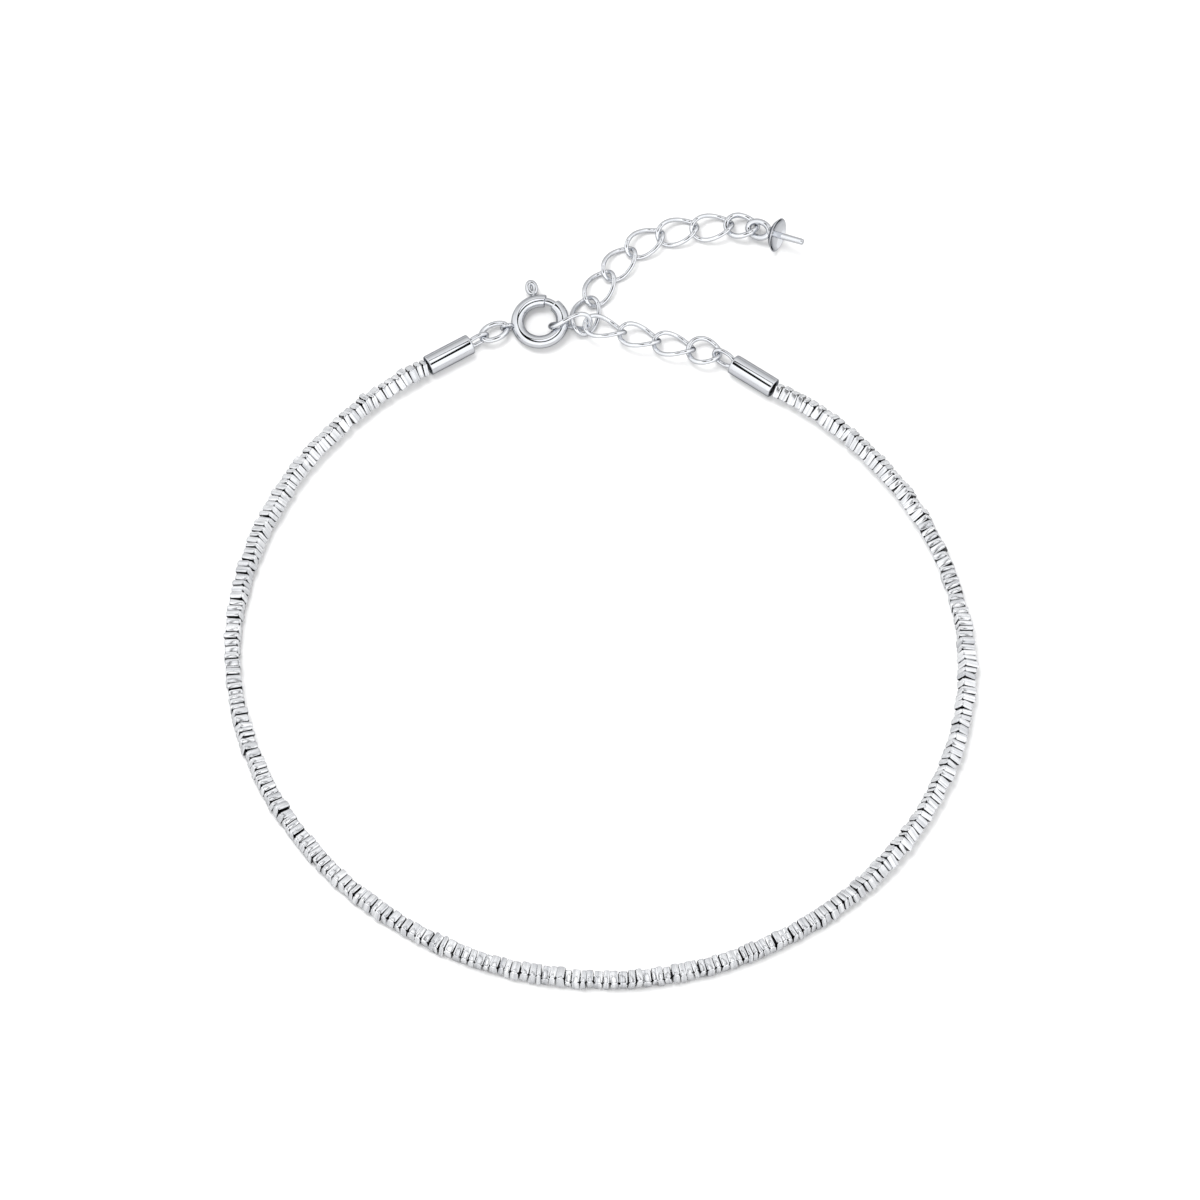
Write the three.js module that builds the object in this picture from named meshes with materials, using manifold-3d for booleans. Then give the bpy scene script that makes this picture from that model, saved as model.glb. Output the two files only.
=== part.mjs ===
// Bracelet of thin square silver beads on a thread, with two tubular end caps, a spring ring clasp and an
// extender chain that ends in an empty pearl cup. It lies on the plane Z = 0, hooked on its fourth link.
// Millimetres, +Z up. +Y points from the loop's middle to the clasp, +X from the clasp towards the cup.

import * as THREE from 'three';
import { mergeVertices } from 'three/addons/utils/BufferGeometryUtils.js';
import Module from 'manifold-3d';

const wasm = await Module();
wasm.setup();

// Frame: the box that the whole bracelet fills is centred on the origin, and rests on Z = 0
const ORIGIN = { x: 0, y: -0.22 };

// Loop that the thread follows from the left cap round the front to the right cap, as distances from a point
// inside it
const LOOP_CENTRE = { x: 0, y: -6.4 };
const LOOP_STATIONS = [
  { deg: 118, radius: 31.45 },
  { deg: 145, radius: 31.4 },
  { deg: 170, radius: 31.35 },
  { deg: 182, radius: 31.2 },
  { deg: 200, radius: 30.5 },
  { deg: 220, radius: 29.7 },
  { deg: 240, radius: 29.25 },
  { deg: 270, radius: 29.12 },
  { deg: 300, radius: 29.6 },
  { deg: 320, radius: 30.3 },
  { deg: 340, radius: 30.9 },
  { deg: 360, radius: 31.15 },
  { deg: 375, radius: 30.8 },
  { deg: 395, radius: 30.25 },
  { deg: 420, radius: 29.65 },
];
const LOOP_STEPS = 1200;

// Beads: thin square wafers that turn a little from one to the next, and whose mean roll changes along the
// string
const BEAD_COUNT = 266;
const BEAD_SIDE = 1.28;
const BEAD_FILL = 0.72;
const PITCH_SPREAD = 0.3;
const SIDE_SPREAD = 0.05;
const ROLL_SPREAD_DEG = 9;
const YAW_SPREAD_DEG = 4;
const BEAD_SEED = 2024;
const REST_BEAD = 133;
const THREAD_RADIUS = 0.3;
const THREAD_TAIL = 0.7;
const CAP_GAP = 0.1;
const ROLL_STATIONS = [
  { deg: 118, roll: -45 },
  { deg: 145, roll: -45 },
  { deg: 158, roll: -30 },
  { deg: 172, roll: -16 },
  { deg: 182, roll: 0 },
  { deg: 192, roll: 14 },
  { deg: 205, roll: 7 },
  { deg: 222, roll: 4 },
  { deg: 300, roll: 4 },
  { deg: 312, roll: 18 },
  { deg: 320, roll: 42 },
  { deg: 350, roll: 58 },
  { deg: 360, roll: 64 },
  { deg: 368, roll: 82 },
  { deg: 385, roll: 110 },
  { deg: 400, roll: 125 },
  { deg: 420, roll: 128 },
];

// End caps: tubes closed at the end that carries a soldered wire loop, bored at the mouth for the thread
const CAP = { radius: 0.87, length: 4.2, edge: 0.14, bore: 0.5, boreDepth: 1.1, axisHeight: 0.89 };
const CAP_SIDES = 16;
const CAP_LOOP = { length: 2.3, width: 1.4, wire: 0.36, power: 2.3, twist: 0 };
const CAP_PLACES = [
  { name: 'end_cap_left', x: -11.05, y: 23.52, heading: 29.8, loopReach: 0.62, loopRoll: 78 },
  { name: 'end_cap_right', x: 11.26, y: 21.66, heading: 146.2, loopReach: 0.9, loopRoll: -45 },
];

// Spring ring clasp: a hollow ring with a mouth, a slot for the thumb loop and a soldered eye
const CLASP = { x: -5.14, y: 25.6, z: 0.84, tilt: 4.5 };
const CLASP_RADIUS = 1.925;
const CLASP_TUBE = 0.535;
const CLASP_BORE = 0.33;
const BORE_PAST_DEG = 3;
const MOUTH = { from: 47.5, to: 79 };
const SLOT = { from: 97, to: 146, halfWidth: 0.22, inner: 0.1, outer: 0.8 };
const CLASP_EYE = { deg: 189, reach: 2.84, radius: 0.47, wire: 0.3 };
const CLASP_SIDES = 10;
const CLASP_STEPS = 26;

// Tongue that shuts the mouth, with its stem and thumb loop
const TONGUE = { radius: 0.2, from: 45.5, to: 120, sides: 6, steps: 8 };
const STEM = { deg: 103, halfWidth: 0.14, reach: 0.95 };
const THUMB_LOOP = { length: 1.5, width: 1.1, wire: 0.44, power: 2, twist: 0, gap: 0.04 };

// Wire rings and twisted links of the extender chain
const WIRE_SIDES = 6;
const RING_STEPS = 16;
const LINK = { length: 3.86, width: 2.6, wire: 0.37, power: 2.2, twist: -75 };
const CAP_RING = { length: 3.15, width: 2.9, wire: 0.42, power: 2, twist: -40 };
const CUP_RING = { length: 3.15, width: 2.5, wire: 0.45, power: 2, twist: -60 };
const JUMP_RING = { length: 2.9, width: 1.95, wire: 0.45, power: 2, twist: 0 };
const RING_PLACES = [
  { name: 'jump_ring', form: JUMP_RING, x: -9.05, y: 24.68, z: 0.75, heading: 32, pitch: -7, roll: -10 },
  { name: 'chain_ring_cap', form: CAP_RING, x: 8.83, y: 22.83, z: 0.84, heading: -17, pitch: 1, roll: -12 },
  { name: 'link_01', form: LINK, x: 6.25, y: 23.38, z: 0.83, heading: -14, pitch: 0, roll: -19 },
  { name: 'link_02', form: LINK, x: 3.32, y: 24.19, z: 0.9, heading: -14, pitch: -4, roll: -20 },
  { name: 'link_03', form: LINK, x: 0.38, y: 24.86, z: 1.18, heading: -12, pitch: -5, roll: -26 },
  { name: 'link_04', form: LINK, x: -2.57, y: 25.24, z: 1.31, heading: 4, pitch: 12, roll: 94 },
  { name: 'link_05', form: LINK, x: -1.29, y: 26.28, z: 0.58, heading: 75, pitch: -1, roll: 2 },
  { name: 'link_06', form: LINK, x: -0.12, y: 28.86, z: 0.58, heading: 60, pitch: 0, roll: 0 },
  { name: 'link_07', form: LINK, x: 1.58, y: 31.18, z: 0.58, heading: 50, pitch: 0, roll: 0 },
  { name: 'link_08', form: LINK, x: 3.77, y: 33.14, z: 0.58, heading: 33, pitch: 0, roll: 0 },
  { name: 'link_09', form: LINK, x: 6.54, y: 34.16, z: 0.58, heading: 18, pitch: 0, roll: 1 },
  { name: 'link_10', form: LINK, x: 9.5, y: 34.52, z: 0.67, heading: 9, pitch: 1, roll: -3 },
  { name: 'chain_ring_cup', form: CUP_RING, x: 12.05, y: 34.59, z: 0.77, heading: -3, pitch: 0, roll: -8 },
];

// Pearl cup: a shallow dish with a peg for a half-drilled pearl and an eye soldered to its back
const CUP = { x: 15.07, y: 33.43, z: 1.47, heading: -24, pitch: 15 };
const CUP_SIDES = 16;
const CUP_PROFILE = [
  { r: 0, along: -0.86 },
  { r: 0.3, along: -0.78 },
  { r: 0.36, along: -0.58 },
  { r: 1.0, along: -0.38 },
  { r: 1.36, along: -0.13 },
  { r: 1.5, along: 0.05 },
  { r: 1.42, along: 0.1 },
  { r: 1.2, along: -0.06 },
  { r: 0.75, along: -0.3 },
  { r: 0.265, along: -0.4 },
  { r: 0.265, along: 2.44 },
  { r: 0.2, along: 2.5 },
  { r: 0, along: 2.5 },
];
const CUP_EYE = { length: 2.5, width: 1.85, wire: 0.5, power: 2, twist: 0, reach: 1.78, roll: 30 };

// Silver, bright on the wire and caps, a little softer on the hammered beads
const SILVER = { color: 0xe6e7e9, roughness: 0.12, metalness: 1 };
const BEAD_SILVER = { color: 0xe2e3e6, roughness: 0.2, metalness: 1 };

// Numbers of the repeatable draws, and the distance within which two points of a mesh are one
const DRAW_FACTOR = 16807;
const DRAW_RANGE = 2147483647;
const SAME_POINT = 1e-4;

const radians = THREE.MathUtils.degToRad;

// Solid through rings of points, joined end to end when closed, or capped with flat fans
function loft(rings, closed) {
  const sides = rings[0].length;
  const positions = rings.flat().flatMap((point) => [point.x, point.y, point.z]);
  const index = [];
  const spans = closed ? rings.length : rings.length - 1;
  for (let i = 0; i < spans; i += 1) {
    const here = i * sides;
    const next = ((i + 1) % rings.length) * sides;
    for (let k = 0; k < sides; k += 1) {
      const turn = (k + 1) % sides;
      index.push(here + k, here + turn, next + turn, here + k, next + turn, next + k);
    }
  }
  if (!closed) {
    const last = (rings.length - 1) * sides;
    for (let k = 1; k < sides - 1; k += 1) {
      index.push(0, k + 1, k, last, last + k, last + k + 1);
    }
  }
  const geometry = new THREE.BufferGeometry();
  geometry.setAttribute('position', new THREE.Float32BufferAttribute(positions, 3));
  geometry.setIndex(index);
  return facingOut(geometry);
}

// Six times the volume that the triangles enclose, negative when they face inwards
function signedVolume(geometry) {
  const position = geometry.attributes.position;
  const index = geometry.index.array;
  const corner = [new THREE.Vector3(), new THREE.Vector3(), new THREE.Vector3()];
  let sum = 0;
  for (let i = 0; i < index.length; i += 3) {
    corner.forEach((point, k) => point.fromBufferAttribute(position, index[i + k]));
    sum += corner[0].dot(corner[1].cross(corner[2]));
  }
  return sum;
}

function facingOut(geometry) {
  if (signedVolume(geometry) < 0) {
    const index = Array.from(geometry.index.array);
    for (let i = 0; i < index.length; i += 3) {
      [index[i + 1], index[i + 2]] = [index[i + 2], index[i + 1]];
    }
    geometry.setIndex(index);
  }
  return geometry;
}

// Round section across a wire, in the plane of two directions
function roundSection(centre, across, up, radius, sides) {
  const points = [];
  for (let k = 0; k < sides; k += 1) {
    const angle = (2 * Math.PI * (k + 0.5)) / sides;
    const point = centre.clone();
    point.addScaledVector(across, radius * Math.cos(angle));
    point.addScaledVector(up, radius * Math.sin(angle));
    points.push(point);
  }
  return points;
}

// Middle of a ring's wire at one turn, and the direction across its plane there
function ringPoint(form, turn) {
  const rounded = (value) => Math.sign(value) * Math.abs(value) ** (2 / form.power);
  const span = form.length - form.wire;
  const x = (span / 2) * rounded(Math.cos(turn));
  const y = ((form.width - form.wire) / 2) * rounded(Math.sin(turn));
  const twist = radians(form.twist) * (x / span);
  return {
    middle: new THREE.Vector3(x, y * Math.cos(twist), y * Math.sin(twist)),
    up: new THREE.Vector3(0, -Math.sin(twist), Math.cos(twist)),
  };
}

// Oval wire ring in the XY plane, long along X and twisted about X
function wireRing(form) {
  const step = 0.01;
  const rings = [];
  for (let i = 0; i < RING_STEPS; i += 1) {
    const turn = (2 * Math.PI * (i + 0.5)) / RING_STEPS;
    const { middle, up } = ringPoint(form, turn);
    const along = ringPoint(form, turn + step).middle.sub(ringPoint(form, turn - step).middle).normalize();
    const across = new THREE.Vector3().crossVectors(along, up).normalize();
    const square = new THREE.Vector3().crossVectors(across, along);
    rings.push(roundSection(middle, across, square, form.wire / 2, WIRE_SIDES));
  }
  return loft(rings, true);
}

// Bent rod round the clasp's axis between two angles, with the section that the function gives at each angle
function claspArc(from, to, steps, section) {
  const rings = [];
  for (let i = 0; i <= steps; i += 1) {
    const angle = radians(from + ((to - from) * i) / steps);
    const outward = new THREE.Vector3(Math.cos(angle), Math.sin(angle), 0);
    rings.push(section(outward));
  }
  return loft(rings, false);
}

function claspTube(radius, sides) {
  const up = new THREE.Vector3(0, 0, 1);
  return (outward) => roundSection(outward.clone().multiplyScalar(CLASP_RADIUS), outward, up, radius, sides);
}

function slotSection(outward) {
  const corners = [[SLOT.inner, -1], [SLOT.outer, -1], [SLOT.outer, 1], [SLOT.inner, 1]];
  return corners.map(([reach, side]) => {
    const point = outward.clone().multiplyScalar(CLASP_RADIUS + reach);
    point.z = side * SLOT.halfWidth;
    return point;
  });
}

// Turned piece about the X axis, from a profile that starts and ends on that axis
function turned(profile, sides) {
  const points = profile.map(({ r, along }) => new THREE.Vector2(r, along));
  const lathe = new THREE.LatheGeometry(points, sides);
  lathe.rotateZ(-Math.PI / 2);
  return closedMesh(lathe);
}

// Same surface with its shared points merged and its empty triangles left out
function closedMesh(geometry) {
  geometry.deleteAttribute('normal');
  geometry.deleteAttribute('uv');
  const merged = mergeVertices(geometry, SAME_POINT);
  const kept = [];
  const index = merged.index.array;
  for (let i = 0; i < index.length; i += 3) {
    const [a, b, c] = index.slice(i, i + 3);
    if (a !== b && b !== c && c !== a) {
      kept.push(a, b, c);
    }
  }
  merged.setIndex(kept);
  return facingOut(merged);
}

function toSolid(geometry) {
  const vertProperties = Float32Array.from(geometry.attributes.position.array);
  const triVerts = Uint32Array.from(geometry.index.array);
  return new wasm.Manifold(new wasm.Mesh({ numProp: 3, vertProperties, triVerts }));
}

function toGeometry(solid) {
  const mesh = solid.getMesh();
  const geometry = new THREE.BufferGeometry();
  geometry.setAttribute('position', new THREE.Float32BufferAttribute(mesh.vertProperties, 3));
  geometry.setIndex(Array.from(mesh.triVerts));
  return geometry;
}

function namedMesh(name, geometry, finish) {
  const mesh = new THREE.Mesh(geometry, new THREE.MeshStandardMaterial(finish));
  mesh.name = name;
  return mesh;
}

// Even draws from 0 to 1, the same on every run
function drawFrom(seed) {
  let state = seed;
  return () => {
    state = (state * DRAW_FACTOR) % DRAW_RANGE;
    return state / DRAW_RANGE;
  };
}

// Station table read between its rows along smooth curves
function smoothValue(stations, key, deg) {
  let i = 0;
  while (i < stations.length - 2 && deg > stations[i + 1].deg) {
    i += 1;
  }
  const slope = (k) => {
    const low = stations[Math.max(k - 1, 0)];
    const high = stations[Math.min(k + 1, stations.length - 1)];
    return (high[key] - low[key]) / (high.deg - low.deg);
  };
  const span = stations[i + 1].deg - stations[i].deg;
  const t = (deg - stations[i].deg) / span;
  const rise = t * t * (3 - 2 * t);
  const start = t * (1 - t) * (1 - t) * span * slope(i);
  const end = t * t * (t - 1) * span * slope(i + 1);
  return stations[i][key] * (1 - rise) + stations[i + 1][key] * rise + start + end;
}

// Points along the thread's loop with their angle and the length of thread up to them
function threadPath() {
  const first = LOOP_STATIONS[0].deg;
  const last = LOOP_STATIONS[LOOP_STATIONS.length - 1].deg;
  const path = [];
  let length = 0;
  for (let i = 0; i <= LOOP_STEPS; i += 1) {
    const deg = first + ((last - first) * i) / LOOP_STEPS;
    const radius = smoothValue(LOOP_STATIONS, 'radius', deg);
    const x = LOOP_CENTRE.x + radius * Math.cos(radians(deg));
    const y = LOOP_CENTRE.y + radius * Math.sin(radians(deg));
    if (i > 0) {
      length += Math.hypot(x - path[i - 1].x, y - path[i - 1].y);
    }
    path.push({ deg, x, y, length });
  }
  return path;
}

// Place on the thread at a length from its start, with the directions along it and out of the loop
function onThread(path, length) {
  let i = 1;
  while (i < path.length - 1 && path[i].length < length) {
    i += 1;
  }
  const low = path[i - 1];
  const high = path[i];
  const t = (length - low.length) / (high.length - low.length);
  const along = new THREE.Vector3(high.x - low.x, high.y - low.y, 0).normalize();
  return {
    deg: low.deg + (high.deg - low.deg) * t,
    middle: new THREE.Vector3(low.x + (high.x - low.x) * t, low.y + (high.y - low.y) * t, 0),
    along,
    outward: new THREE.Vector3(along.y, -along.x, 0),
  };
}

// Beads in order along the thread, each resting on the plane Z = 0 on a side or an edge
function layBeads(path) {
  const draw = drawFrom(BEAD_SEED);
  const even = () => 2 * draw() - 1;
  const beads = [];
  for (let i = 0; i < BEAD_COUNT; i += 1) {
    beads.push({
      share: 1 + PITCH_SPREAD * even(),
      side: BEAD_SIDE * (1 + SIDE_SPREAD * even()),
      rollOff: ROLL_SPREAD_DEG * even(),
      yaw: radians(YAW_SPREAD_DEG * even()),
    });
  }
  const shares = beads.reduce((sum, bead) => sum + bead.share, 0);
  const room = path[path.length - 1].length - 2 * CAP_GAP;
  let used = CAP_GAP;
  beads.forEach((bead, i) => {
    bead.pitch = (room * bead.share) / shares;
    bead.place = onThread(path, used + bead.pitch / 2);
    const meanRoll = smoothValue(ROLL_STATIONS, 'roll', bead.place.deg);
    bead.roll = i === REST_BEAD ? 0 : radians(meanRoll + bead.rollOff);
    bead.height = (bead.side / 2) * (Math.abs(Math.cos(bead.roll)) + Math.abs(Math.sin(bead.roll)));
    used += bead.pitch;
  });
  return beads;
}

// Square across the thread, turned by the roll
function squareSection(middle, outward, roll, reach) {
  const up = new THREE.Vector3(0, 0, 1);
  const points = [];
  for (let k = 0; k < 4; k += 1) {
    const angle = roll + ((k + 0.5) * Math.PI) / 2;
    const point = middle.clone();
    point.addScaledVector(outward, reach * Math.cos(angle));
    point.addScaledVector(up, reach * Math.sin(angle));
    points.push(point);
  }
  return points;
}

// Both square faces of a bead
function beadFaces(bead) {
  const middle = bead.place.middle.clone().setZ(bead.height);
  const axis = new THREE.Vector3(0, 0, 1);
  const along = bead.place.along.clone().applyAxisAngle(axis, bead.yaw);
  const outward = bead.place.outward.clone().applyAxisAngle(axis, bead.yaw);
  const half = (bead.pitch * BEAD_FILL) / 2;
  return [-half, half].map((offset) => {
    const centre = middle.clone().addScaledVector(along, offset);
    return squareSection(centre, outward, bead.roll, bead.side * Math.SQRT1_2);
  });
}

// Bare thread that stands out of the first or last bead into its cap
function threadTail(bead, direction) {
  const reaches = [bead.pitch / 2 + CAP_GAP / 2, bead.pitch / 2 + CAP_GAP + THREAD_TAIL];
  return reaches.map((reach) => {
    const middle = bead.place.middle.clone().addScaledVector(bead.place.along, direction * reach);
    middle.z = CAP.axisHeight;
    return squareSection(middle, bead.place.outward, bead.roll, THREAD_RADIUS);
  });
}

function beadString() {
  const beads = layBeads(threadPath());
  const rings = threadTail(beads[0], -1).reverse();
  beads.forEach((bead, i) => {
    rings.push(...beadFaces(bead));
    const after = beads[i + 1];
    if (after) {
      const between = bead.place.middle.clone().setZ(bead.height);
      between.lerp(after.place.middle.clone().setZ(after.height), bead.pitch / (bead.pitch + after.pitch));
      const roll = (bead.roll + after.roll) / 2;
      rings.push(squareSection(between, bead.place.outward, roll, THREAD_RADIUS));
    }
  });
  rings.push(...threadTail(beads[beads.length - 1], 1));
  return namedMesh('bead_string', loft(rings, false), BEAD_SILVER);
}

function endCap({ name, x, y, heading, loopReach, loopRoll }) {
  const profile = [
    { r: 0, along: 0 },
    { r: CAP.radius - CAP.edge, along: 0 },
    { r: CAP.radius, along: -CAP.edge },
    { r: CAP.radius, along: -CAP.length },
    { r: CAP.bore, along: -CAP.length },
    { r: CAP.bore, along: CAP.boreDepth - CAP.length },
    { r: 0, along: CAP.boreDepth - CAP.length },
  ];
  const loop = wireRing(CAP_LOOP).rotateX(radians(loopRoll)).translate(loopReach, 0, 0);
  const solid = toSolid(turned(profile, CAP_SIDES)).add(toSolid(loop));
  const mesh = namedMesh(name, toGeometry(solid), SILVER);
  mesh.position.set(x, y, CAP.axisHeight);
  mesh.rotation.z = radians(heading);
  return mesh;
}

function claspRing() {
  const { deg, reach, radius, wire } = CLASP_EYE;
  const eyeForm = { length: 2 * radius + wire, width: 2 * radius + wire, wire, power: 2, twist: 0 };
  const eye = wireRing(eyeForm).rotateX(Math.PI / 2).translate(reach, 0, 0).rotateZ(radians(deg));
  const tubeEnd = MOUTH.from + 360;
  const boreStart = MOUTH.to - BORE_PAST_DEG;
  const boreEnd = tubeEnd + BORE_PAST_DEG;
  const tube = claspArc(MOUTH.to, tubeEnd, CLASP_STEPS, claspTube(CLASP_TUBE, CLASP_SIDES));
  const bore = claspArc(boreStart, boreEnd, CLASP_STEPS, claspTube(CLASP_BORE, CLASP_SIDES));
  const slot = claspArc(SLOT.from, SLOT.to, TONGUE.steps, slotSection);
  const solid = toSolid(tube).add(toSolid(eye)).subtract(toSolid(bore)).subtract(toSolid(slot));
  return namedMesh('clasp_ring', toGeometry(solid), SILVER);
}

function claspTrigger() {
  const tongue = claspArc(TONGUE.from, TONGUE.to, TONGUE.steps, claspTube(TONGUE.radius, TONGUE.sides));
  const stem = new THREE.BoxGeometry(STEM.reach, 2 * STEM.halfWidth, 2 * STEM.halfWidth);
  stem.translate(CLASP_RADIUS + STEM.reach / 2, 0, 0).rotateZ(radians(STEM.deg));
  const thumbReach = CLASP_RADIUS + CLASP_TUBE + THUMB_LOOP.gap + THUMB_LOOP.length / 2;
  const thumb = wireRing(THUMB_LOOP).translate(thumbReach, 0, 0).rotateZ(radians(STEM.deg));
  const solid = toSolid(tongue).add(toSolid(closedMesh(stem))).add(toSolid(thumb));
  return namedMesh('clasp_trigger', toGeometry(solid), SILVER);
}

function clasp() {
  const group = new THREE.Group();
  group.add(claspRing(), claspTrigger());
  group.position.set(CLASP.x, CLASP.y, CLASP.z);
  group.rotation.y = -radians(CLASP.tilt);
  return group;
}

function chainRing({ name, form, x, y, z, heading, pitch, roll }) {
  const mesh = namedMesh(name, wireRing(form), SILVER);
  mesh.position.set(x, y, z);
  mesh.rotation.set(radians(roll), -radians(pitch), radians(heading), 'ZYX');
  return mesh;
}

function pearlCup() {
  const eye = wireRing(CUP_EYE).rotateX(radians(CUP_EYE.roll)).translate(-CUP_EYE.reach, 0, 0);
  const solid = toSolid(turned(CUP_PROFILE, CUP_SIDES)).add(toSolid(eye));
  const mesh = namedMesh('pearl_cup', toGeometry(solid), SILVER);
  mesh.position.set(CUP.x, CUP.y, CUP.z);
  mesh.rotation.set(0, -radians(CUP.pitch), radians(CUP.heading), 'ZYX');
  return mesh;
}

const bracelet = new THREE.Group();
bracelet.add(beadString(), clasp(), pearlCup());
CAP_PLACES.forEach((place) => bracelet.add(endCap(place)));
RING_PLACES.forEach((place) => bracelet.add(chainRing(place)));
bracelet.position.set(-ORIGIN.x, -ORIGIN.y, 0);

export default bracelet;
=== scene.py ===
"""Looks of a silver bracelet of thin square beads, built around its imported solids.

Tables are in millimetres and degrees.
"""

import math
from collections import namedtuple

import bmesh
import bpy
from mathutils import Matrix, Vector


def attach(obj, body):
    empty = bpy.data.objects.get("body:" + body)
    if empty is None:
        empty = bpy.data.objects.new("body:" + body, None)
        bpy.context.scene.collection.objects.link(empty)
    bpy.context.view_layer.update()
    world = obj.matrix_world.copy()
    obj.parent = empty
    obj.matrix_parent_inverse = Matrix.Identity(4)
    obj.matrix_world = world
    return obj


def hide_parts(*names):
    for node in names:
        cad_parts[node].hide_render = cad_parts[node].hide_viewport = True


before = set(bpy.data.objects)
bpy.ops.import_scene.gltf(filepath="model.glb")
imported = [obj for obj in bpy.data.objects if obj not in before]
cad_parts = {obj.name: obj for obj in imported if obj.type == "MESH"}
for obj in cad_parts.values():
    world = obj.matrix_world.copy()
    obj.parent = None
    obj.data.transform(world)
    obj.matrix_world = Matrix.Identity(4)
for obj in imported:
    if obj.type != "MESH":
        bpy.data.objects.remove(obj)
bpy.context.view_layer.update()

Station = namedtuple("Station", "deg value")
Wire = namedtuple("Wire", "length width wire power twist")
Place = namedtuple("Place", "name form x y z heading pitch roll")
CapPlace = namedtuple("CapPlace", "name x y heading loop_reach loop_roll")
Wafer = namedtuple("Wafer", "corner taper skew")
WaferRing = namedtuple("WaferRing", "across inset")
CornerPoint = namedtuple("CornerPoint", "deg share")
Corner = namedtuple("Corner", "radius along soft")
Solder = namedtuple("Solder", "radius stretch")
PathPoint = namedtuple("PathPoint", "deg spot length")
BeadDraw = namedtuple("BeadDraw", "share side roll yaw")
Bead = namedtuple("Bead", "middle turn size")

# From the tables' millimetres to the frame's metres
MM = 0.001
SHIFT = Vector((0, 0.22, 0))
TO_FRAME = Matrix.Scale(MM, 4) @ Matrix.Translation(SHIFT)

# Camera: the photograph's frame is this wide, seen through a long lens
FRAME_WIDTH = 102
VIEW_ELEVATION = 66
VIEW_DISTANCE = 4000
VIEW_CENTRE = Vector((-0.04, 0, 0))
SENSOR_WIDTH = 36
CLIP_START_M = 0.01
CLIP_END_M = 20

# Loop that the thread follows, as distances from a point inside it
LOOP_CENTRE = Vector((0, -6.4, 0))
LOOP_RADIUS = [
    Station(118, 31.45),
    Station(145, 31.4),
    Station(170, 31.35),
    Station(182, 31.2),
    Station(200, 30.5),
    Station(220, 29.7),
    Station(240, 29.25),
    Station(270, 29.12),
    Station(300, 29.6),
    Station(320, 30.3),
    Station(340, 30.9),
    Station(360, 31.15),
    Station(375, 30.8),
    Station(395, 30.25),
    Station(420, 29.65),
]
LOOP_STEPS = 1200

# Beads along the thread, and the roll of the string round its loop
BEAD_COUNT = 266
BEAD_SIDE = 1.28
BEAD_FILL = 0.97
FILL_SPREAD = 0.05
PITCH_SPREAD = 0.3
SIDE_SPREAD = 0.05
ROLL_SPREAD_DEG = 9
YAW_SPREAD_DEG = 4
LEAN_SPREAD_DEG = 8
SLIP_SPREAD = 0.07
BEAD_SEED = 2024
LEAN_SEED = 77
REST_BEAD = 133
CAP_GAP = 0.1
BEAD_ROLL = [
    Station(118, -45),
    Station(145, -45),
    Station(158, -30),
    Station(172, -16),
    Station(182, 0),
    Station(192, 14),
    Station(205, 7),
    Station(222, 4),
    Station(300, 4),
    Station(312, 18),
    Station(320, 42),
    Station(350, 58),
    Station(360, 64),
    Station(368, 82),
    Station(385, 110),
    Station(400, 125),
    Station(420, 128),
]
DRAW_FACTOR = 16807
DRAW_RANGE = 2147483647

# Hammered wafers, one unit wide and thick: they differ a little in outline, and are thinner at their corners
WAFERS = [
    Wafer(corner=0.11, taper=0.0, skew=0.0),
    Wafer(corner=0.14, taper=0.06, skew=0.03),
    Wafer(corner=0.08, taper=-0.05, skew=-0.04),
]
WAFER_RINGS = [
    WaferRing(across=-0.5, inset=0.09),
    WaferRing(across=-0.43, inset=0.02),
    WaferRing(across=-0.2, inset=0.0),
    WaferRing(across=0.2, inset=0.0),
    WaferRing(across=0.43, inset=0.02),
    WaferRing(across=0.5, inset=0.09),
]
WAFER_CORNER = [
    CornerPoint(deg=0, share=0.22),
    CornerPoint(deg=45, share=1.0),
    CornerPoint(deg=90, share=0.22),
]
CORNER_THINNING = 0.4
WAFER_SMOOTH_ANGLE = 50
STREAK_SCALE = 2.2
STREAK_DETAIL = 2
STREAK_LOW = -0.8
STREAK_HIGH = 1.8
SHADE_REACH = 60
THREAD_SIDES = 10
THREAD_WIRE = 0.5
THREAD_TAIL = 0.9

# End caps: turned tubes with a soldered wire loop
CAP_AXIS_HEIGHT = 0.89
CAP_SIDES = 64
CAP_PROFILE = [
    Corner(0, 0, 0),
    Corner(0.87, 0, 0.2),
    Corner(0.87, -4.2, 0.12),
    Corner(0.5, -4.2, 0.06),
    Corner(0.5, -3.1, 0),
    Corner(0, -3.1, 0),
]
CAP_LOOP = Wire(length=2.3, width=1.4, wire=0.37, power=2.3, twist=0)
CAP_PLACES = [
    CapPlace("end_cap_left", -11.05, 23.52, 29.8, 0.62, 78),
    CapPlace("end_cap_right", 11.26, 21.66, 146.2, 0.9, -45),
]
CAP_SOLDER = Solder(radius=0.34, stretch=0.45)
SOLDER_SUBDIVISIONS = 3

# Spring ring clasp and its sliding tongue
CLASP_MIDDLE = Vector((-5.14, 25.6, 0.84))
CLASP_TILT = 4.5
CLASP_RADIUS = 1.925
CLASP_TUBE = 0.545
CLASP_BORE = 0.4
CLASP_SIDES = 32
CLASP_STEPS = 120
LIP_ANGLES = (45, 90, 135)
MOUTH_FROM = 47.5
MOUTH_TO = 79
SLOT_FROM = 97
SLOT_TO = 146
SLOT_STEPS = 16
SLOT_HALF_WIDTH = 0.2
SLOT_INNER_REACH = 0.15
SLOT_OUTER_REACH = 0.8
CLASP_EYE = Wire(length=1.24, width=1.24, wire=0.3, power=2, twist=0)
CLASP_EYE_DEG = 189
CLASP_EYE_REACH = 2.84
CLASP_SOLDER = Solder(radius=0.24, stretch=0.6)
CLASP_SOLDER_REACH = CLASP_RADIUS + CLASP_TUBE * 0.9
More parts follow.
